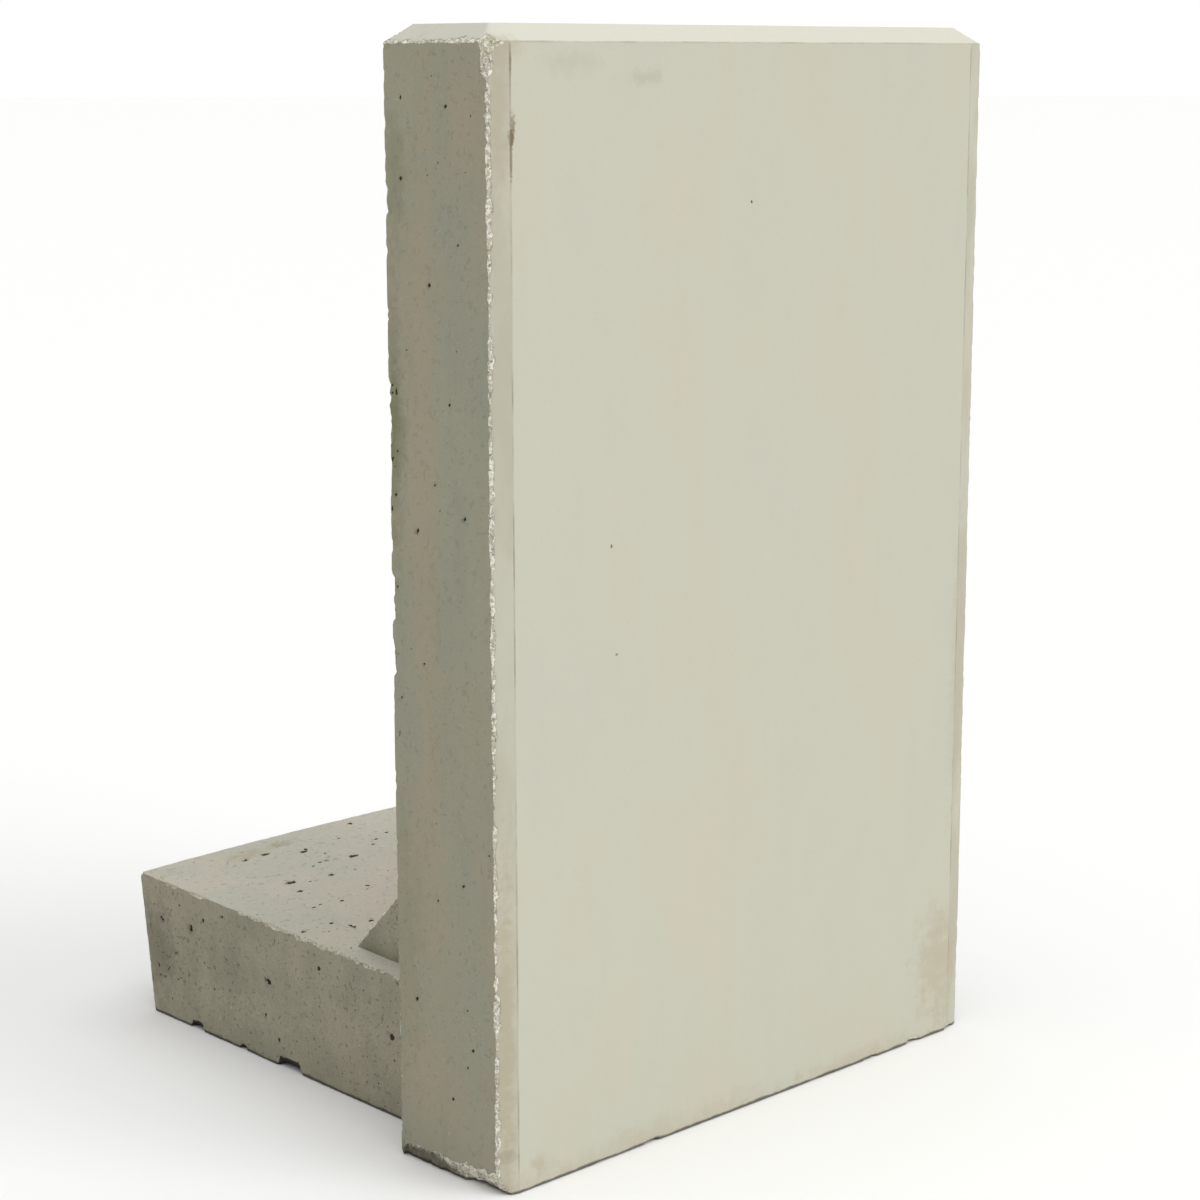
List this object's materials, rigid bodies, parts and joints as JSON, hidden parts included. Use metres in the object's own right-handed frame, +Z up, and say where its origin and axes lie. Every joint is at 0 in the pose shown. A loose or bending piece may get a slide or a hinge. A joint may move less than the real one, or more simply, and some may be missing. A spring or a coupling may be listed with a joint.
{
  "type": "retaining wall element",
  "caption": "L-shaped precast concrete retaining-wall element: bevelled upright slab on a narrower foot, with a slanted haunch in the corner and a tied steel cage inside.",
  "frame": {"origin": "middle of the underside of the element's overall box, on the ground", "axes": "+X along the wall, +Y from the smooth front face towards the soil side and the toe of the foot, +Z up"},
  "size_m": [0.5, 0.5, 0.8],
  "materials": {
    "concrete": "matte",
    "reinforcing_steel": "matte",
    "spacer_plastic": "matte",
    "tie_wire": "satin"
  },
  "bodies": {
    "root": {"concrete_casting": "concrete", "main_bar_1": "reinforcing_steel", "main_bar_2": "reinforcing_steel", "main_bar_3": "reinforcing_steel", "main_bar_4": "reinforcing_steel", "stem_cross_bar_1": "reinforcing_steel", "stem_cross_bar_2": "reinforcing_steel", "stem_cross_bar_3": "reinforcing_steel", "stem_cross_bar_4": "reinforcing_steel", "stem_cross_bar_5": "reinforcing_steel", "stem_cross_bar_6": "reinforcing_steel", "foot_cross_bar_1": "reinforcing_steel", "foot_cross_bar_2": "reinforcing_steel", "foot_cross_bar_3": "reinforcing_steel", "foot_cross_bar_4": "reinforcing_steel", "haunch_bar_1": "reinforcing_steel", "haunch_bar_2": "reinforcing_steel", "haunch_bar_3": "reinforcing_steel", "stem_spacers": "spacer_plastic", "foot_spacers": "spacer_plastic", "tie_wires": "tie_wire"}
  },
  "joints": []
}
